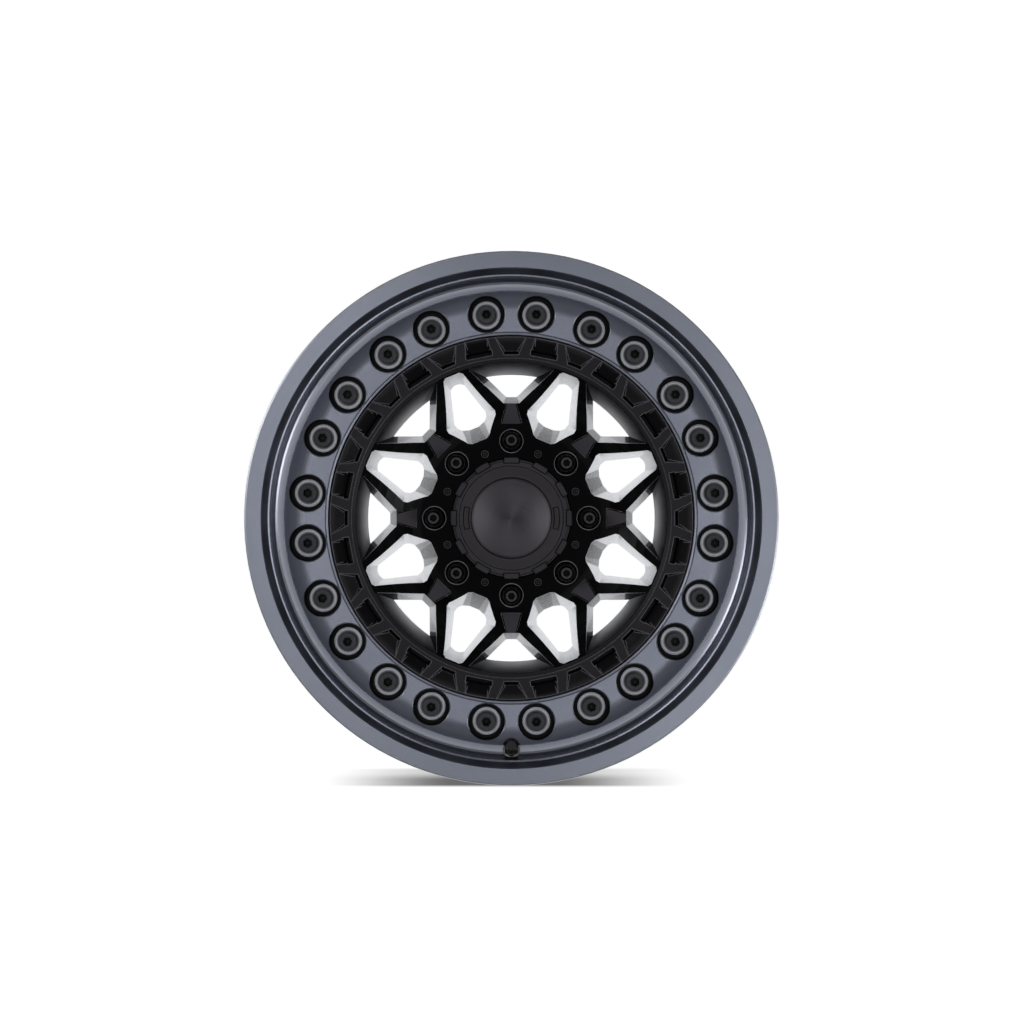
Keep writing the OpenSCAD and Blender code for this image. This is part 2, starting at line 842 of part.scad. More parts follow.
module cap_body() {
  color([0.17, 0.165, 0.18])
    difference() {
      union() {
        difference() {
          rotate_extrude($fn = 120)
            cap_profile();
          cap_key(cap_slot_w, cap_band_z - 1.6, 4);
        }
        intersection() {
          spin(tab_count)
            translate([cap_d / 2 - 3.5, -cap_tab_w / 2, lug_z])
              cube([20, cap_tab_w, cap_h]);
          translate([0, 0, lug_z])
            union() {
              cylinder(d = cap_tab_d, h = cap_h - 1.2);
              translate([0, 0, cap_h - 1.2])
                cylinder(d1 = cap_tab_d, d2 = cap_tab_d - 2.4, h = 1.2);
            }
        }
        cap_key(0, cap_band_z - 2.6, 3);
      }
      spin(tab_count)
        tab_slot();
      rotate_extrude()
        translate([spring_mid_r + spring_play, spring_z])
          circle(r = spring_r + spring_play, $fn = 24);
    }
}

module cap_disc() {
  steps = 6;
  rim = 1.6;
  color([0.15, 0.145, 0.16])
    rotate_extrude($fn = 96)
      polygon(concat(
        [[0, disc_seat_z], [disc_r, disc_seat_z], [disc_r, disc_seat_z + rim]],
        [
          for (i = [0:steps])
            let (t = i / steps)
              [
                (disc_r - 2) * (1 - t),
                disc_seat_z + rim + 0.4 + cap_dome_h * (1 - pow(1 - t, 2))
              ]
        ]
      ));
}

// Open spring ring in the skirt's groove
module cap_spring_ring() {
  color([0.6, 0.6, 0.62])
    rotate([0, 0, 7.5])
      rotate_extrude(angle = 345)
        translate([spring_mid_r, spring_z])
          circle(r = spring_r, $fn = 24);
}

// Valve, in the axes of at_valve
valve_r_body = valve_hole_d / 2 - 0.3;
valve_nut_h = 4.5;
valve_washer_h = 1.2;
valve_seal_h = 3;
valve_thread_r = 3.9;
valve_cap_z = valve_seat_out + valve_washer_h + valve_nut_h + 0.6;

module valve_stem() {
  back = valve_seat_in - valve_seal_h;
  color([0.62, 0.6, 0.55])
    at_valve()
      difference() {
        rotate_extrude($fn = 40)
          polygon([
            [0, back - 3],
            [6.5, back - 3],
            [valve_seat_r - 0.4, back - 1.5],
            [valve_seat_r - 0.4, back],
            [valve_r_body, back],
            [valve_r_body, valve_seat_out + valve_washer_h + valve_nut_h],
            [valve_thread_r, valve_cap_z],
            [valve_thread_r, valve_out - 0.8],
            [valve_thread_r - 0.8, valve_out],
            [0, valve_out]
          ]);
        translate([0, 0, back - 4])
          cylinder(r = 1.6, h = valve_out - back + 5, $fn = 24);
        translate([0, 0, valve_out - 12])
          cylinder(r = 2.6, h = 13, $fn = 24);
      }
}

module valve_seal() {
  color([0.08, 0.08, 0.08])
    at_valve()
      translate([0, 0, valve_seat_in - valve_seal_h])
        difference() {
          cylinder(r = valve_seat_r - 0.2, h = valve_seal_h, $fn = 48);
          translate([0, 0, -1])
            cylinder(r = valve_r_body + small_clear, h = valve_seal_h + 2, $fn = 40);
        }
}

module valve_washer() {
  color([0.3, 0.3, 0.31])
    at_valve()
      translate([0, 0, valve_seat_out])
        difference() {
          cylinder(r = valve_seat_r - 0.5, h = valve_washer_h, $fn = 48);
          translate([0, 0, -1])
            cylinder(r = valve_r_body + small_clear, h = valve_washer_h + 2, $fn = 40);
        }
}

module valve_nut() {
  color([0.1, 0.1, 0.11])
    at_valve()
      translate([0, 0, valve_seat_out + valve_washer_h])
        difference() {
          cylinder(r = valve_seat_r - 0.9, h = valve_nut_h, $fn = 6);
          translate([0, 0, -1])
            cylinder(r = valve_r_body + small_clear, h = valve_nut_h + 2, $fn = 40);
        }
}

module valve_core() {
  color([0.75, 0.65, 0.35])
    at_valve() {
      translate([0, 0, valve_out - 12])
        cylinder(r = 2.5, h = 9.5, $fn = 24);
      translate([0, 0, valve_out - 3])
        cylinder(r = 0.8, h = 2.4, $fn = 16);
    }
}

module valve_cap() {
  r = valve_cap_d / 2;
  top = valve_out + 2.6;
  color([0.03, 0.03, 0.03])
    at_valve()
      difference() {
        rotate_extrude($fn = 48)
          polygon([
            [0, valve_cap_z],
            [r, valve_cap_z],
            [r, top - 1],
            [r - 1, top],
            [0, top]
          ]);
        translate([0, 0, valve_cap_z - 1])
          cylinder(r = valve_thread_r + small_clear, h = valve_out - valve_cap_z + 1, $fn = 32);
      }
}

wheel_casting();
lock_ring();
ring_washers();
for (i = [1:2 * bolt_pairs])
  at_bolt(i - 1)
      translate([0, 0, bolt_seat_z + washer_t])
        ring_bolt();
for (i = [1:lug_count])
  at_lug(i - 1)
      lug_nut();
for (i = [1:lug_count])
  at_hub_screw(i - 1)
      translate([0, 0, lug_z - hub_screw_sink])
        hub_screw();
cap_body();
cap_disc();
cap_spring_ring();
valve_stem();
valve_seal();
valve_washer();
valve_nut();
valve_core();
valve_cap();
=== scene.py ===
"""Dished eight-stud wheel, lying on its back flange and seen straight from above."""
import math
from types import SimpleNamespace

import bmesh
import bpy
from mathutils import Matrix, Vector


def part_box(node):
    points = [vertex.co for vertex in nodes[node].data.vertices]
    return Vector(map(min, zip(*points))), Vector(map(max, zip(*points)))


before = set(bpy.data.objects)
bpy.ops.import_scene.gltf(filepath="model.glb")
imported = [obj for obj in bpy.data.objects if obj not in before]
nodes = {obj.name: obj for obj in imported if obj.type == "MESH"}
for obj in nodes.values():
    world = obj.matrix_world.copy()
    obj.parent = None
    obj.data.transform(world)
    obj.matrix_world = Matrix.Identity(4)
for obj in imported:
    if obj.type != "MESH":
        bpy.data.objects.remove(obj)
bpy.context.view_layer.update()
scene = bpy.context.scene
scene.view_settings.view_transform = "Standard"

# How many stand round the axle
LUGS = 8
BOLT_PAIRS = 12
TABS = 12
KEYS = 2

# Sizes in metres. R is a distance from the axle, Z a height above the ground and HALF
# a distance from the middle of a smaller form. The rest are borders between surfaces.
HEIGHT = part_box("wheel_casting")[1][2]
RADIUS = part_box("wheel_casting")[1][0]
RING_LO, RING_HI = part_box("lock_ring")
RING_IN_R = 0.1896
BOLT_R = (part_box("lock_ring")[1][0] + RING_IN_R) / 2
BOLT_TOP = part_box("ring_bolt_01")[1][2]
BOLT_TURN = math.radians(7)
LUG_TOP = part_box("lug_nut_1")[1][2]
LUG_R = (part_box("lug_nut_1")[0][1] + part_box("lug_nut_1")[1][1]) / 2
SCREW_PROUD = 0.0004
LUG_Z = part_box("hub_screw_1")[1][2] - SCREW_PROUD
SCREW_R = 0.0742

# The casting's disc: hub, spokes and band
DISC_R, DISC_BACK_Z = 0.1895, 0.1315
DISH_R, DISH_POWER = 0.097, 1.5
BAND_R, BAND_BACK_Z = 0.1624, 0.2
BAND_TOP = RING_HI[2] - 0.006
BAND_FOOT_Z = BAND_TOP - 0.0022
WINDOW_R = 0.0865
WELL_HALF, WELL_CLEAR = 0.012, 0.0138
PAD_R, PAD_Z = 0.104, 0.1335
PAD_POCKET_HALF, PAD_POCKET_Z = 0.0115, 0.149
WEDGE_FROM, WEDGE_TO = 0.101, 0.1222
WEDGE_WIDE, WEDGE_NARROW = 0.0101, 0.0042
FAN_SLOPE, FAN_SHIFT = 1.009, 0.1064
FAN_END_R, FAN_LEAN, FAN_WALL_R = 0.1433, 0.2, 0.1505
HAIR_R, HAIR_DEPTH = 0.1595, 0.002
END_WALL_LOW_Z, END_WALL_TOP_Z = 0.19, 0.2265
EDGE_DEPTH = 0.004

# The casting's rim round the disc; a DEPTH is measured down from the lip
SEAT_R, CHANNEL_R = 0.19, 0.2555
LIP_R, LIP_DEPTH = 0.2535, 0.0125
COVE_FROM, COVE_TO, COVE_DEPTH = 0.2362, 0.2463, 0.02
COVE_RISE_FROM, COVE_RISE_TO = 0.238, 0.2435
WALL_FROM, WALL_TO, WALL_DEPTH = 0.2491, 0.254, 0.016

# The ring's wells and rolled edge, and the small pieces in the wells and on the hub
RING_WELL_HALF = 0.0193
RING_LIGHT_R = RING_IN_R + 0.0018
RING_LINE_FROM, RING_LINE_TO = RING_IN_R + 0.0021, RING_IN_R + 0.0031
ROLL_FROM, ROLL_TO = 0.2125, 0.2275
SOCKET_HALF, SOCKET_DOT = 0.0052, 0.0009
HEAD_FROM, HEAD_TO = 0.004, 0.009
WASHER_FROM, WASHER_TO, WASHER_END = 0.0098, 0.0129, 0.0146
SCREW_OUTER, SCREW_INNER = (0.0034, 0.0041), (0.0011, 0.0018)

# The cap: slots round its tabs and keys, its groove, its disc and the disc's seat
CAP_RIM = LUG_Z + 0.006
CAP_SKIRT_R = 0.044
TAB_HALF, TAB_SLOT_HALF = 0.0074, 0.0091
TAB_FROM, TAB_SLOT_TO = 0.0578, 0.0595
# From and to along the radius, and half its angle in radians
KEY_SLOT = 0.0449, 0.0519, 0.252
KEY = 0.0465, 0.0504, 0.226
GROOVE_FROM, GROOVE_TO = 0.0552, 0.0564
DISC_SEAT_R = 0.0452
SHEEN_FROM, SHEEN_TO = 0.008, 0.04

# Colours in linear light; a pair is the dark and the light of a grain, unless its comment names it
# painted shade or light
BACK = (0.024, 0.025, 0.029), (0.034, 0.035, 0.041)
OUTSIDE = (0.05, 0.053, 0.062)
FRONT = (0.14, 0.15, 0.182), (0.18, 0.192, 0.232)
# Painted highlight in the cove: lighter than the metal round it, and lighter still towards the lip
COVE = (0.21, 0.224, 0.266), (0.36, 0.378, 0.44)
# Painted shade: the step wall under the lip is darker, for the dark it reflects
WALL = (0.088, 0.093, 0.115)
LIP = (0.185, 0.2, 0.243), (0.222, 0.24, 0.288)
LIP_CLOUD = (0.225, 0.242, 0.29)
LIP_GRAIN = (0.15, 0.162, 0.2)
# Painted highlight along the lip's rounded outer corner
CORNER = (0.42, 0.44, 0.48)
BLACK = (0.0013, 0.0012, 0.0015), (0.0021, 0.002, 0.0024)
SATIN = (0.0165, 0.0155, 0.0185), (0.0215, 0.0202, 0.0242)
# Painted shade in the pockets of the band
BAND_POCKET = (0.0042, 0.004, 0.0048)
# Painted highlight on the sharp top edges of the band
BAND_EDGE = (0.22, 0.213, 0.235)
# Painted shade on the fan windows' end walls: dark by the band that shades them, light towards the
# opening
END_WALL = (0.02, 0.0195, 0.022), (0.5, 0.505, 0.53)
FACET = (0.058, 0.0545, 0.0635)
MILLED = (0.56, 0.57, 0.6), (0.78, 0.79, 0.82)
# Painted highlight on the sharp top edges of the milled window walls
BRINK = (0.97, 0.975, 0.99)
WELL_EDGE = (0.27, 0.27, 0.28)
PAD = (0.3, 0.31, 0.33)
RING = (0.148, 0.158, 0.196), (0.192, 0.205, 0.25)
RING_CLOUD = (0.21, 0.225, 0.27)
RING_GRAIN = (0.13, 0.14, 0.175)
# Painted light on the ring's rolled outer edge, lifting the shade its slope takes
RING_ROLL = (0.23, 0.246, 0.3)
# Painted highlight on the ring's inner chamfer
RING_EDGE = (0.34, 0.36, 0.43)
# Painted shade: a thin dark line on the ring face just outside its inner chamfer
RING_LINE = (0.07, 0.075, 0.093)
# Painted shade in the ring's bolt wells
RING_WELL = (0.004, 0.004, 0.005)
# Painted highlight on the slanted rim of each bolt well
RING_WELL_EDGE = (0.34, 0.355, 0.4)
BOLT = (0.056, 0.057, 0.064), (0.08, 0.081, 0.092)
BOLT_SHADE = (0.004, 0.004, 0.005)
# Painted shade in the bolts' hex sockets, with a painted glint at the middle
SOCKET = (0.0012, 0.0012, 0.0015), (0.03, 0.03, 0.034)
SCREW = (0.0025, 0.0025, 0.0028), (0.0045, 0.0045, 0.005)
# Painted highlights on the hub screws' head edge and socket edge
SCREW_EDGE = (0.1, 0.098, 0.105)
WASHER = (0.045, 0.046, 0.052), (0.062, 0.064, 0.073)
# Painted highlight on the washers' bevelled outer rim
WASHER_EDGE = (0.74, 0.76, 0.84)
NUT = (0.0016, 0.0016, 0.0018), (0.0024, 0.0024, 0.0028)
NUT_TOP = (0.045, 0.045, 0.05), (0.065, 0.065, 0.071)
CAP = (0.0255, 0.0228, 0.029), (0.0325, 0.0292, 0.036)
# Painted highlight on the cap's outer edges
CAP_EDGE = (0.085, 0.082, 0.09)
# Painted shade in the cap's slots, its groove and round the disc's seat
CAP_SLOT = (0.0025, 0.0024, 0.003)
SPUN = (0.038, 0.0357, 0.0415), (0.05, 0.047, 0.055)
# Painted sheen on the spun disc, to the left and right of its middle
SPUN_SHEEN = (0.105, 0.1, 0.112)

# Half the width of a mask's border, in metres
HAIRLINE, CRISP, SOFT = 0.0001, 0.0002, 0.0003

# Depths of the bumps, in metres
FINE_BUMP, RUBBER_BUMP, CAST_BUMP = 0.0002, 0.0003, 0.0004

BEVEL_SAMPLES = 4


class Nodes:
    """One material, and short names for the shader nodes that draw it.

    A mask is one on a surface and nothing elsewhere. Masks are joined with mul.
    """

    def __init__(self, name, anisotropic=0.0, specular=0.5):
        self.mat = bpy.data.materials.new(name)
        self.mat.use_nodes = True
        self.tree = self.mat.node_tree
        self.tree.nodes.clear()
        out = self.new("ShaderNodeOutputMaterial")
        self.bsdf = self.new("ShaderNodeBsdfPrincipled")
        self.link(self.bsdf.outputs[0], out.inputs[0])
        self.bsdf.inputs["Anisotropic"].default_value = anisotropic
        self.bsdf.inputs["Specular IOR Level"].default_value = specular
        self.bsdf.inputs["IOR"].default_value = 1.5
        self.co = self.new("ShaderNodeTexCoord").outputs["Object"]
        self.normal = self.new("ShaderNodeNewGeometry").outputs["True Normal"]
        self.x, self.y, self.z = self.split(self.co)

    def new(self, kind):
        return self.tree.nodes.new(kind)

    def link(self, a, b):
        self.tree.links.new(a, b)

    def put(self, socket, v):
        """Links a node's output to the socket, or sets a number or a colour on it."""
        if isinstance(v, bpy.types.NodeSocket):
            self.link(v, socket)
        elif isinstance(v, tuple) and socket.type == "RGBA":
            socket.default_value = (*v, 1)
        else:
            socket.default_value = v

    def fill(self, node, *values):
        """Puts the values in the node's first inputs."""
        for socket, v in zip(node.inputs, values):
            self.put(socket, v)

    def math(self, op, a, b=0.0):
        n = self.new("ShaderNodeMath")
        n.operation = op
        self.fill(n, a, b)
        return n.outputs[0]

    def add(self, a, b):
        return self.math("ADD", a, b)

    def sub(self, a, b):
        return self.math("SUBTRACT", a, b)

    def mul(self, a, *more):
        for b in more:
            a = self.math("MULTIPLY", a, b)
        return a

    def no(self, a):
        return self.sub(1.0, a)

    def either(self, a, *more):
        for b in more:
            a = self.math("MAXIMUM", a, b)
        return a

    def ramp(self, v, a, b, lo=0.0, hi=1.0, kind="LINEAR"):
        """Value that runs from lo to hi while v runs from a to b, and stays there outside."""
        n = self.new("ShaderNodeMapRange")
        n.interpolation_type = kind
        self.fill(n, v, a, b, lo, hi)
        return n.outputs[0]

    def above(self, v, at, soft=SOFT):
        return self.ramp(v, at - soft, at + soft)

    def below(self, v, at, soft=SOFT):
        return self.ramp(v, at - soft, at + soft, 1.0, 0.0)

    def within(self, v, lo, hi, soft=SOFT):
        return self.mul(self.above(v, lo, soft), self.below(v, hi, soft))

    def vary(self, noise, lo, hi, spread=0.2):
        """Value that runs from lo to hi over the middle of a noise."""
        return self.ramp(noise, 0.5 - spread, 0.5 + spread, lo, hi)

    def mix(self, fac, a, b):
        """Colour a where fac is nothing, b where it is one."""
        n = self.new("ShaderNodeMix")
        n.data_type = "RGBA"
        self.put(n.inputs[0], fac)
        self.put(n.inputs[6], a)
        self.put(n.inputs[7], b)
        return n.outputs[2]

    def blend(self, fac, a, b):
        """Number a where fac is nothing, b where it is one."""
        n = self.new("ShaderNodeMix")
        self.put(n.inputs[0], fac)
        self.put(n.inputs[2], a)
        self.put(n.inputs[3], b)
        return n.outputs[0]

    def tint(self, noise, pair, spread=0.2):
        """Colour that runs through the pair over the middle of a noise."""
        return self.mix(self.vary(noise, 0.0, 1.0, spread), *pair)

    def layers(self, join, base, *coats):
        """The base with each coat over it in turn; a coat is a mask and its value."""
        for mask, value in coats:
            base = join(mask, base, value)
        return base

    def vec(self, x, y, z):
        n = self.new("ShaderNodeCombineXYZ")
        self.fill(n, x, y, z)
        return n.outputs[0]

    def split(self, v):
        n = self.new("ShaderNodeSeparateXYZ")
        self.link(v, n.inputs[0])
        return n.outputs

    def dot(self, a, b):
        n = self.new("ShaderNodeVectorMath")
        n.operation = "DOT_PRODUCT"
        self.fill(n, a, b)
        return n.outputs["Value"]

    def noise(self, co, scale, detail=2.0, rough=0.5):
        n = self.new("ShaderNodeTexNoise")
        self.put(n.inputs["Vector"], co)
        n.inputs["Scale"].default_value = scale
        n.inputs["Detail"].default_value = detail
        n.inputs["Roughness"].default_value = rough
        return n.outputs[0]

    def bevel(self, radius):
        """Normal of the surface with its edges rounded."""
        n = self.new("ShaderNodeBevel")
        n.samples = BEVEL_SAMPLES
        n.inputs["Radius"].default_value = radius
        return n.outputs[0]

    def radius(self, x=None, y=None):
        """Distance from the axle, or from where x and y are nothing."""
        x = self.x if x is None else x
        y = self.y if y is None else y
        return self.math("SQRT", self.add(self.mul(x, x), self.mul(y, y)))

    def angle(self):
        return self.math("ARCTAN2", self.y, self.x)

    def fold(self, count):
        """Angle from the nearest of count rays round the axle, the first of them on x."""
        return self.math("PINGPONG", self.angle(), math.pi / count)

    def polar(self, r, angle):
        """Lengths along and across the ray that the angle is measured from."""
        return self.mul(r, self.math("COSINE", angle)), self.mul(r, self.math("SINE", angle))

    def near(self, count, turn, ring_r):
        """Distance from the nearest of the axes at ring_r that stand turned from a ray."""
        angle = self.sub(self.fold(count), turn)
        along, across = self.polar(self.radius(), angle)
        return self.radius(self.sub(along, ring_r), across)

    def bolt(self):
        """Distance from the axis of the nearest ring bolt; the bolts stand in twelve pairs."""
        return self.near(BOLT_PAIRS, BOLT_TURN, BOLT_R)

    def facing(self):
        """One where a face looks up, minus one where it looks down."""
        return self.split(self.normal)[2]

    def inward(self):
        """Mask of the faces that look at the axle."""
        outward = self.dot(self.normal, self.vec(self.x, self.y, 0.0))
        return self.below(self.math("DIVIDE", outward, self.radius()), -0.6, 0.1)

    def edges(self, radius):
        """Mask of the sharp edges, where the rounded normal leaves the true one."""
        return self.ramp(self.dot(self.bevel(radius), self.normal), 0.985, 0.88)

    def turned(self, r, scale=2600.0):
        """Fine rings round the axle, with a slow breakup along them."""
        return self.noise(self.vec(r, self.mul(self.angle(), 0.012), self.z), scale, 3.0, 0.65)

    def finish(self, color, metallic, rough, bumps=(), edge=0.0, tangent=False):
        """Fills in the shader; a bump is its height, its strength and its depth."""
        b = self.bsdf.inputs
        self.put(b["Base Color"], color)
        self.put(b["Metallic"], metallic)
        self.put(b["Roughness"], rough)
        if edge:
            normal = self.bevel(edge)
            for height, strength, depth in bumps:
                n = self.new("ShaderNodeBump")
                self.put(n.inputs["Height"], height)
                self.put(n.inputs["Strength"], strength)
                n.inputs["Distance"].default_value = depth
                self.link(normal, n.inputs["Normal"])
                normal = n.outputs[0]
            self.link(normal, b["Normal"])
        if tangent:
            t = self.new("ShaderNodeTangent")
            t.direction_type = "RADIAL"
            t.axis = "Z"
            self.link(t.outputs[0], b["Tangent"])
        return self.mat

    def plain(self, color, metallic, fine, rough, bump, edge, depth=FINE_BUMP):
        """Finish of a small piece: one noise moves its roughness and its surface."""
        return self.finish(color, metallic, self.vary(fine, *rough), [(fine, bump, depth)], edge)


def casting_masks(n):
    """Masks of the casting's surfaces, and the two lengths that fold it on a lug."""
    m = SimpleNamespace()
    r, z, up = n.radius(), n.z, n.facing()
    m.along, m.across = n.polar(r, n.fold(LUGS))
    lug = n.near(LUGS, 0.0, LUG_R)
    between = n.near(LUGS, math.pi / LUGS, LUG_R)
    # The spokes' dished face rises from the lug face to the foot of the band
    rise = n.math("POWER", n.ramp(r, DISH_R, BAND_R), DISH_POWER)
    above_face = n.sub(z, n.add(LUG_Z, n.mul(rise, BAND_FOOT_Z - LUG_Z)))
    sharp = n.edges(0.0016)

    m.disc = n.mul(n.below(r, DISC_R), n.above(z, DISC_BACK_Z))
    m.outside = n.mul(n.no(m.disc), n.above(z, RING_LO[2] - 0.002), n.above(r, SEAT_R))
    at_lip = n.above(z, HEIGHT - LIP_DEPTH)
    m.front = n.mul(m.outside, n.either(n.below(r, CHANNEL_R), at_lip))
    m.lip = n.mul(m.front, n.above(r, LIP_R, 0.0004), at_lip)
    m.corner = n.mul(m.front, n.above(r, RADIUS - 0.0022))
    in_cove = n.within(r, COVE_FROM, COVE_TO, 0.0008)
    m.cove = n.mul(m.front, in_cove, n.below(z, HEIGHT - COVE_DEPTH))
    in_wall = n.within(r, WALL_FROM, WALL_TO, CRISP)
    m.wall = n.mul(m.front, in_wall, n.above(z, HEIGHT - WALL_DEPTH))

    # The windows' walls are milled bright, except at the outer ends of the fan windows
    steep = n.ramp(n.math("ABSOLUTE", up), 0.38, 0.5, 1.0, 0.0)
    window = n.mul(m.disc, steep, n.below(r, BAND_R, 0.0004), n.above(r, WINDOW_R))
    pad_pocket = n.mul(n.below(between, PAD_POCKET_HALF), n.below(z, PAD_POCKET_Z))
    window = n.mul(window, n.above(lug, WELL_CLEAR), n.no(pad_pocket), n.below(above_face, 0.0004))
    fan = n.below(n.sub(m.across, n.mul(m.along, FAN_SLOPE)), -FAN_SHIFT)
    fan_end = n.above(n.add(r, n.mul(above_face, FAN_LEAN)), FAN_END_R, 0.0006)
    hair = n.mul(n.above(above_face, -HAIR_DEPTH), n.below(r, HAIR_R), n.below(up, 0.42, 0.05))
    m.end_wall = n.mul(window, fan, n.above(r, FAN_WALL_R), n.inward())
    m.silver = n.mul(window, n.no(m.end_wall), n.no(n.mul(fan, fan_end, n.no(hair))))
    m.brink = n.mul(m.silver, sharp, n.above(above_face, -EDGE_DEPTH))

    half = n.ramp(m.along, WEDGE_FROM, WEDGE_TO, WEDGE_WIDE, WEDGE_NARROW)
    in_length = n.within(m.along, WEDGE_FROM, WEDGE_TO, CRISP)
    in_breadth = n.below(n.sub(m.across, half), 0.0, CRISP)
    m.wedge = n.mul(m.disc, in_length, in_breadth, n.above(up, 0.3, 0.05))
    at_well = n.within(lug, WELL_HALF - 0.0001, WELL_HALF + 0.0009, HAIRLINE)
    m.well_edge = n.mul(at_well, n.above(z, LUG_Z - 0.0009), m.disc)
    at_pad = n.within(z, PAD_Z - 0.001, PAD_Z + 0.001)
    m.pad = n.mul(at_pad, n.below(r, PAD_R), n.below(up, -0.9, 0.05))

    m.band = n.mul(m.disc, n.above(r, BAND_R - 0.0005), n.above(z, BAND_BACK_Z))
    low = n.below(z, BAND_TOP - 0.0012, 0.0006)
    m.band_pocket = n.mul(m.band, low, n.above(r, BAND_R + 0.003))
    m.band_edge = n.mul(m.band, sharp, n.above(z, BAND_TOP - EDGE_DEPTH))
    m.cast = n.mul(n.no(m.disc), n.no(m.outside), n.below(z, BAND_BACK_Z))
    return m


def casting_material():
    n = Nodes("wheel_paint_and_metal", specular=0.07)
    m = casting_masks(n)
    r = n.radius()
    turned = n.turned(r)
    coarse = n.noise(n.co, 420.0, 4.0, 0.6)
    peel = n.noise(n.co, 190.0, 2.0, 0.5)
    upright = n.vec(n.mul(m.along, 0.07), n.mul(m.across, 0.07), n.z)
    milled = n.noise(upright, 2100.0, 3.0, 0.6)
    clouds = n.noise(n.co, 9.0, 3.0, 0.55)
    grain = n.noise(n.co, 1500.0, 2.0, 0.7)

    lip = n.layers(
        n.mix, n.tint(turned, LIP),
        (n.ramp(clouds, 0.35, 0.7), LIP_CLOUD),
        (n.vary(grain, 0.0, 0.35, 0.15), LIP_GRAIN),
    )
    # Painted shade: the end wall darkens from the opening up towards the band
    fade = n.math("POWER", n.ramp(n.z, END_WALL_LOW_Z, END_WALL_TOP_Z, 1.0, 0.0), 1.7)
    color = n.layers(
        n.mix, n.tint(coarse, BACK),
        (m.outside, OUTSIDE),
        (m.front, n.tint(clouds, FRONT)),
        (m.cove, n.mix(n.ramp(r, COVE_RISE_FROM, COVE_RISE_TO), *COVE)),
        (m.wall, WALL),
        (m.lip, lip),
        (m.disc, n.mix(n.ramp(grain, 0.35, 0.75), *BLACK)),
        (m.band, n.tint(grain, SATIN)),
        (m.band_pocket, BAND_POCKET),
        (m.band_edge, BAND_EDGE),
        (m.end_wall, n.mix(fade, *END_WALL)),
        (m.wedge, FACET),
        (m.silver, n.tint(milled, MILLED)),
        (m.brink, BRINK),
        (m.well_edge, WELL_EDGE),
        (m.corner, CORNER),
        (m.pad, PAD),
    )
    rough = n.layers(
        n.blend, 0.46,
        (m.disc, 0.2),
        (m.front, n.vary(turned, 0.2, 0.27)),
        (m.cove, 0.3),
        (m.wall, 0.45),
        (m.lip, n.vary(turned, 0.33, 0.45, 0.25)),
        (m.band, n.vary(peel, 0.3, 0.38)),
        (m.wedge, 0.5),
        (m.silver, n.vary(milled, 0.22, 0.4)),
        (m.pad, 0.4),
    )
    rings = n.either(n.mul(m.front, n.no(m.cove), 0.05), n.mul(m.lip, 0.16), n.mul(m.pad, 0.5))
    bumps = [
        (turned, rings, FINE_BUMP),
        (milled, n.mul(m.silver, 0.22), FINE_BUMP),
        (coarse, n.add(n.mul(m.cast, 0.12), n.mul(m.band, 0.05)), CAST_BUMP),
        (peel, n.mul(m.disc, n.no(m.silver), 0.03), CAST_BUMP),
    ]
    return n.finish(color, n.either(m.front, m.silver, m.pad), rough, bumps, edge=0.0006)


def ring_material():
    n = Nodes("ring_turned_tint", anisotropic=0.55, specular=0.12)
    r = n.radius()
    bolt = n.bolt()
    turned = n.turned(r, 2400.0)
    clouds = n.noise(n.co, 11.0, 3.0, 0.5)
    fine = n.noise(n.co, 900.0, 2.0, 0.6)
    well = n.mul(n.below(bolt, RING_WELL_HALF), n.below(n.z, RING_HI[2] - 0.001))
    face = n.no(well)
    at_well = n.within(bolt, RING_WELL_HALF - 0.0004, RING_WELL_HALF + 0.001, HAIRLINE)
    slanted = n.below(n.facing(), 0.93, 0.02)
    well_edge = n.mul(at_well, slanted, n.above(n.z, RING_HI[2] - 0.0012))
    # Painted light: the rolled outer edge is made lighter and less metallic
    roll = n.mul(n.ramp(r, ROLL_FROM, ROLL_TO, kind="SMOOTHSTEP"), face)
    color = n.layers(
        n.mix, n.tint(turned, RING, 0.25),
        (n.ramp(clouds, 0.4, 0.8, 0.0, 0.6), RING_CLOUD),
        (n.vary(fine, 0.0, 0.3, 0.15), RING_GRAIN),
        (roll, RING_ROLL),
        (n.mul(face, n.below(r, RING_LIGHT_R, CRISP)), RING_EDGE),
        (n.mul(face, n.within(r, RING_LINE_FROM, RING_LINE_TO, CRISP)), RING_LINE),
        (well, RING_WELL),
        (well_edge, RING_WELL_EDGE),
    )
    face_rough = n.add(n.vary(turned, 0.32, 0.42, 0.25), n.vary(fine, -0.02, 0.02))
    rough = n.blend(face, 0.5, face_rough)
    # The wells' painted shade and the rolled edge's painted light are also less metallic
    metal = n.mul(n.blend(face, 0.3, 1.0), n.blend(roll, 1.0, 0.72))
    bumps = [(turned, n.mul(face, 0.14), FINE_BUMP)]
    return n.finish(color, metal, rough, bumps, edge=0.0006, tangent=True)


def bolt_material():
    n = Nodes("bolt_black_oxide", specular=0.06)
    fine = n.noise(n.co, 1700.0, 3.0, 0.6)
    wide = n.noise(n.co, 130.0, 2.0, 0.5)
    bolt = n.bolt()
    socket = n.mul(n.below(bolt, SOCKET_HALF), n.below(n.z, BOLT_TOP - 0.0004))
    color = n.layers(
        n.mix, n.tint(n.add(n.mul(fine, 0.6), n.mul(wide, 0.4)), BOLT, 0.15),
        (n.ramp(bolt, HEAD_FROM, HEAD_TO, 0.45, 0.0), BOLT_SHADE),
        (socket, n.mix(n.below(bolt, SOCKET_DOT, CRISP), *SOCKET)),
    )
    return n.plain(color, 0.0, fine, (0.3, 0.45), 0.12, 0.0005)


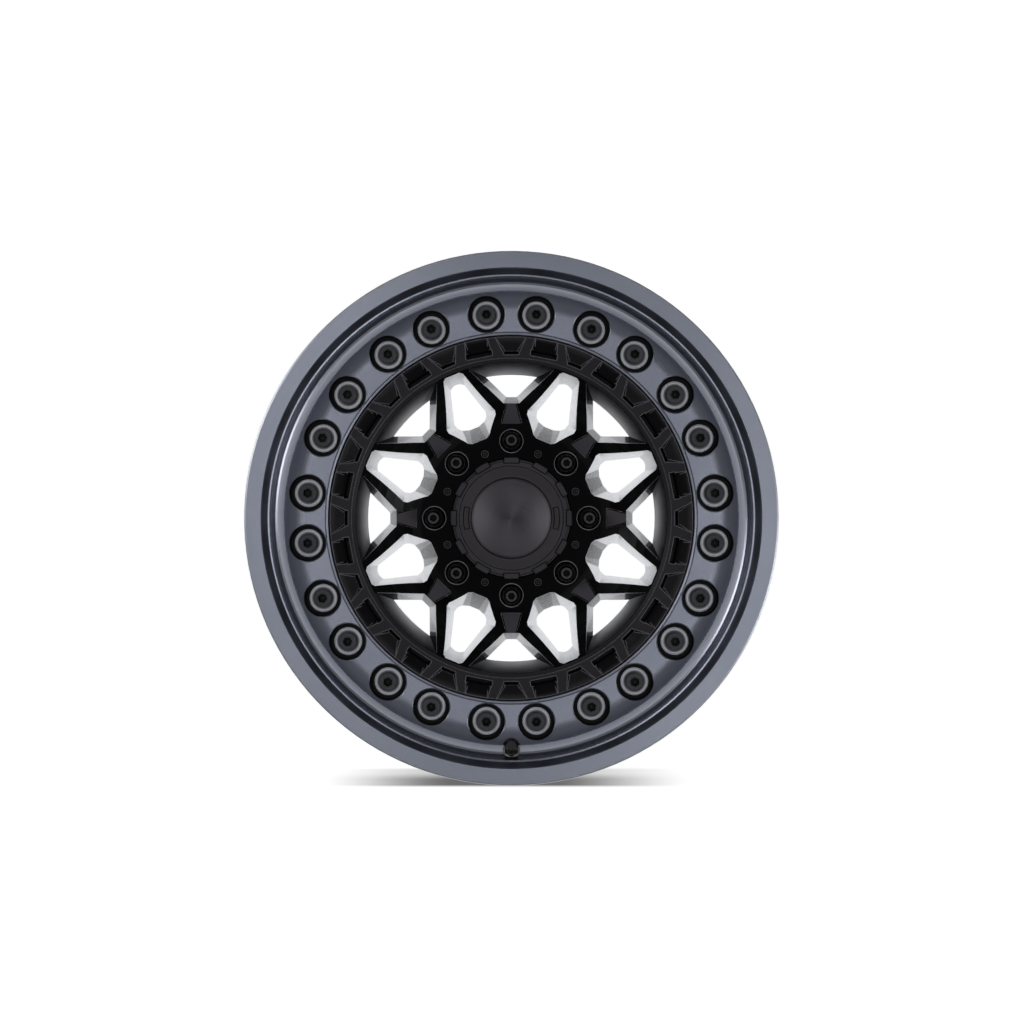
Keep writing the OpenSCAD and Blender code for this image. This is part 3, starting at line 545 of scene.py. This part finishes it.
def screw_material():
    n = Nodes("screw_black_oxide", specular=0.06)
    fine = n.noise(n.co, 1700.0, 3.0, 0.6)
    screw = n.near(LUGS, math.pi / LUGS, SCREW_R)
    outer = n.within(screw, *SCREW_OUTER, HAIRLINE)
    inner = n.mul(n.within(screw, *SCREW_INNER, HAIRLINE), 0.6)
    color = n.mix(n.either(outer, inner), n.tint(fine, SCREW), SCREW_EDGE)
    return n.plain(color, 0.0, fine, (0.3, 0.45), 0.12, 0.0004)


def washer_material():
    n = Nodes("washer_steel", specular=0.3)
    bolt = n.bolt()
    fine = n.noise(n.co, 1500.0, 3.0, 0.6)
    bevel = n.math("POWER", n.ramp(bolt, WASHER_FROM, WASHER_TO), 1.8)
    rim = n.mul(bevel, n.below(bolt, WASHER_END, 0.0004))
    # Painted highlight: the bevelled rim is painted near white, broken up by noise
    worn = n.mul(rim, n.ramp(fine, 0.2, 0.6, 0.8, 1.0))
    color = n.mix(worn, n.tint(fine, WASHER), WASHER_EDGE)
    return n.plain(color, n.mul(rim, 0.3), fine, (0.28, 0.42), 0.08, 0.0004)


def nut_material():
    n = Nodes("nut_gloss_black", specular=0.08)
    fine = n.noise(n.co, 1500.0, 3.0, 0.6)
    top = n.mul(n.above(n.z, LUG_TOP - 0.0006), n.above(n.facing(), 0.8, 0.1))
    color = n.mix(top, n.tint(fine, NUT), n.tint(fine, NUT_TOP))
    return n.plain(color, 0.0, fine, (0.2, 0.3), 0.06, 0.0005)


def cap_material():
    n = Nodes("cap_satin_plastic", anisotropic=0.4, specular=0.2)
    r = n.radius()
    fine = n.noise(n.co, 1300.0, 3.0, 0.65)
    wide = n.noise(n.co, 40.0, 2.0, 0.5)

    along, across = n.polar(r, n.fold(TABS))
    beside = n.within(across, TAB_HALF, TAB_SLOT_HALF, CRISP)
    sides = n.mul(beside, n.above(along, TAB_FROM, CRISP))
    behind = n.within(along, TAB_FROM, TAB_SLOT_TO, CRISP)
    inner = n.mul(behind, n.below(across, TAB_SLOT_HALF, CRISP))
    key_turn = n.fold(KEYS)
    around, key = (
        n.mul(n.within(r, lo, hi, CRISP), n.below(key_turn, turn, 0.004))
        for lo, hi, turn in (KEY_SLOT, KEY)
    )
    slot = n.either(sides, inner, n.mul(around, n.no(key)))
    groove = n.mul(n.within(r, GROOVE_FROM, GROOVE_TO, CRISP), n.below(n.z, CAP_RIM - 0.0003))
    seat = n.mul(n.below(r, DISC_SEAT_R), n.below(n.z, CAP_RIM + 0.0006))

    color = n.layers(
        n.mix, n.tint(fine, CAP),
        (n.mul(n.edges(0.0013), n.above(r, CAP_SKIRT_R)), CAP_EDGE),
        (n.either(slot, seat, n.mul(groove, 0.7)), CAP_SLOT),
    )
    rough = n.add(n.vary(fine, 0.4, 0.48), n.vary(wide, -0.03, 0.03))
    return n.finish(color, 0.15, rough, [(fine, 0.1, FINE_BUMP)], edge=0.0005, tangent=True)


def disc_material():
    n = Nodes("cap_disc_spun", anisotropic=0.8, specular=0.3)
    r = n.radius()
    rings = n.turned(r, 2000.0)
    fine = n.noise(n.co, 1300.0, 3.0, 0.65)
    # Painted sheen: the spun disc is painted brighter to the left and right of its middle, as a
    # highlight
    sideways = n.math("POWER", n.math("ABSOLUTE", n.math("COSINE", n.angle())), 4.0)
    sheen = n.mul(sideways, n.ramp(r, SHEEN_FROM, SHEEN_TO), 0.8)
    color = n.mix(sheen, n.tint(rings, SPUN), SPUN_SHEEN)
    rough = n.add(n.vary(rings, 0.36, 0.44), n.vary(fine, -0.02, 0.02))
    return n.finish(color, 0.7, rough, [(rings, 0.08, FINE_BUMP)], edge=0.0005, tangent=True)


def rubber_material(name, color, rough):
    n = Nodes(name)
    fine = n.noise(n.co, 900.0, 4.0, 0.6)
    light = tuple(min(1.0, v * 1.5 + 0.003) for v in color)
    spread = rough - 0.06, rough + 0.06
    return n.plain(n.tint(fine, (color, light)), 0.0, fine, spread, 0.2, 0.0004, RUBBER_BUMP)


def metal_material(name, color, rough):
    n = Nodes(name)
    fine = n.noise(n.co, 1600.0, 3.0, 0.6)
    dark = tuple(v * 0.85 for v in color)
    spread = rough - 0.06, rough + 0.08
    return n.plain(n.tint(fine, (dark, color)), 1.0, fine, spread, 0.1, 0.0003)


nickel = metal_material("valve_nickel", (0.46, 0.45, 0.43), 0.3)

# Materials by the start of a piece's name
LOOKS = {
    "wheel_casting": casting_material(),
    "lock_ring": ring_material(),
    "ring_bolt": bolt_material(),
    "ring_washers": washer_material(),
    "lug_nut": nut_material(),
    "hub_screw": screw_material(),
    "cap_body": cap_material(),
    "cap_disc": disc_material(),
    "cap_spring_ring": metal_material("spring_wire", (0.5, 0.5, 0.52), 0.3),
    "valve_stem": nickel,
    "valve_washer": nickel,
    "valve_core": metal_material("valve_brass", (0.6, 0.48, 0.22), 0.3),
    "valve_seal": rubber_material("valve_rubber", (0.018, 0.018, 0.019), 0.6),
    "valve_cap": rubber_material("valve_cap_plastic", (0.008, 0.008, 0.009), 0.38),
    "valve_nut": metal_material("valve_nut_black", (0.022, 0.022, 0.025), 0.35),
}
for name, obj in nodes.items():
    obj.data.materials.clear()
    obj.data.materials.append(next(mat for start, mat in LOOKS.items() if name.startswith(start)))


FLOOR_HALF = 6.0
FLOOR_GLOW = 0.66
FLOOR_FAR_FROM, FLOOR_FAR_TO = 0.7, 2.4
# The shade painted below the wheel's picture: across along x, then from and to along y
SHADE_X, SHADE_CORE, SHADE_HALF = -0.01, 0.055, 0.245
SHADE_START, SHADE_FADE, SHADE_END = (-0.3186, -0.3156), (-0.31, -0.3), (-0.298, -0.2945)
SHADE_STRENGTH = 0.86


def floor_material():
    """White floor with a glow for the camera and reflections, and a painted shade."""
    n = Nodes("floor_white", specular=0.0)
    path = n.new("ShaderNodeLightPath").outputs
    seen = n.either(path["Is Camera Ray"], path["Is Glossy Ray"], path["Is Transmission Ray"])
    aside = n.math("ABSOLUTE", n.sub(n.x, SHADE_X))
    wide = n.ramp(aside, SHADE_CORE, SHADE_HALF, 1.0, 0.0, "SMOOTHSTEP")
    core = n.ramp(n.y, *SHADE_FADE, 1.0, 0.5, "SMOOTHSTEP")
    shade = n.mul(wide, core, n.ramp(n.y, *SHADE_START), n.ramp(n.y, *SHADE_END, 1.0, 0.0))
    light = n.no(n.mul(shade, SHADE_STRENGTH))
    r = n.radius()
    near = n.ramp(r, RADIUS - 0.03, RADIUS + 0.01, 1.0, FLOOR_GLOW)
    far = n.ramp(r, FLOOR_FAR_FROM, FLOOR_FAR_TO, 0.0, 1.0 - FLOOR_GLOW)
    n.put(n.bsdf.inputs["Emission Color"], (1.0, 1.0, 1.0))
    n.put(n.bsdf.inputs["Emission Strength"], n.mul(seen, n.add(near, far), light))
    white = n.mul(n.vary(n.noise(n.co, 60.0), 0.85, 0.87), light)
    return n.finish(n.vec(white, white, white), 0.0, 1.0)


def make_floor():
    mesh = bpy.data.meshes.new("floor")
    bm = bmesh.new()
    bmesh.ops.create_grid(bm, x_segments=4, y_segments=4, size=FLOOR_HALF)
    bm.to_mesh(mesh)
    bm.free()
    obj = bpy.data.objects.new("floor", mesh)
    scene.collection.objects.link(obj)
    obj.data.materials.append(floor_material())
    return obj


make_floor()


# The sky fades from white to dark between two heights of the direction looked at
SKY_LOW, SKY_HIGH = 0.02, 0.45
SKY_WHITE, SKY_DARK = 1.0, 0.14


def make_world():
    """White where the camera and the metal see the horizon, darker overhead."""
    world = bpy.data.worlds.new("studio")
    scene.world = world
    world.use_nodes = True
    t = world.node_tree
    t.nodes.clear()
    out = t.nodes.new("ShaderNodeOutputWorld")
    back = t.nodes.new("ShaderNodeBackground")
    back.inputs["Color"].default_value = (1, 1, 1, 1)
    coord = t.nodes.new("ShaderNodeTexCoord")
    sep = t.nodes.new("ShaderNodeSeparateXYZ")
    sky = t.nodes.new("ShaderNodeMapRange")
    for socket, value in zip(sky.inputs[1:5], (SKY_LOW, SKY_HIGH, SKY_WHITE, SKY_DARK)):
        socket.default_value = value
    path = t.nodes.new("ShaderNodeLightPath")
    seen = t.nodes.new("ShaderNodeMix")
    seen.inputs[3].default_value = SKY_WHITE
    for start, end in (
        (coord.outputs["Generated"], sep.inputs[0]),
        (sep.outputs[2], sky.inputs["Value"]),
        (path.outputs["Is Camera Ray"], seen.inputs[0]),
        (sky.outputs[0], seen.inputs[2]),
        (seen.outputs[0], back.inputs["Strength"]),
        (back.outputs[0], out.inputs[0]),
    ):
        t.links.new(start, end)


make_world()


def area(name, place, aim_z, size, size_y, power):
    """Soft box that looks at a point of the axle."""
    light = bpy.data.lights.new(name, "AREA")
    light.shape = "RECTANGLE"
    light.size = size
    light.size_y = size_y
    light.energy = power
    obj = bpy.data.objects.new(name, light)
    obj.location = place
    way = Vector((0, 0, aim_z)) - Vector(place)
    obj.rotation_euler = way.to_track_quat("-Z", "Y").to_euler()
    scene.collection.objects.link(obj)


# A ring of eight soft boxes round the camera, each with its own share of the power
BOX_SHARES = (1.6, 1.0, 0.05, 2.0, 1.2, 1.2, 0.4, 1.8)
BOX_POWER = 1.1
BOX_R, BOX_Z, BOX_AIM_Z = 0.62, 2.0, 0.25
BOX_WIDTH, BOX_DEPTH = 0.42, 0.36
SIDE_AIM_Z, SIDE_WIDTH, SIDE_POWER = 0.2, 0.8, 8.0
for i, share in enumerate(BOX_SHARES):
    turn = math.tau * i / len(BOX_SHARES)
    place = (BOX_R * math.cos(turn), BOX_R * math.sin(turn), BOX_Z)
    area(f"box_{i}", place, BOX_AIM_Z, BOX_WIDTH, BOX_DEPTH, BOX_POWER * share)
for name, place in (("left", (-1.7, 0.6, 1.1)), ("right", (1.75, -0.45, 1.1))):
    area(name, place, SIDE_AIM_Z, SIDE_WIDTH, SIDE_WIDTH, SIDE_POWER)


# Camera straight over the face, as in the photograph; the shifts are in its pixels
PHOTO_WIDTH = 1024
SHIFT_X, SHIFT_Y = 0.6, 6.14
CAMERA_ABOVE = 1.6
LENS_MM, SENSOR_MM = 55.5, 36.0
camera = bpy.data.cameras.new("camera")
camera.lens = LENS_MM
camera.sensor_width = SENSOR_MM
camera.shift_x = SHIFT_X / PHOTO_WIDTH
camera.shift_y = SHIFT_Y / PHOTO_WIDTH
eye = bpy.data.objects.new("camera", camera)
eye.location = (0.0, 0.0, HEIGHT + CAMERA_ABOVE)
scene.collection.objects.link(eye)
scene.camera = eye
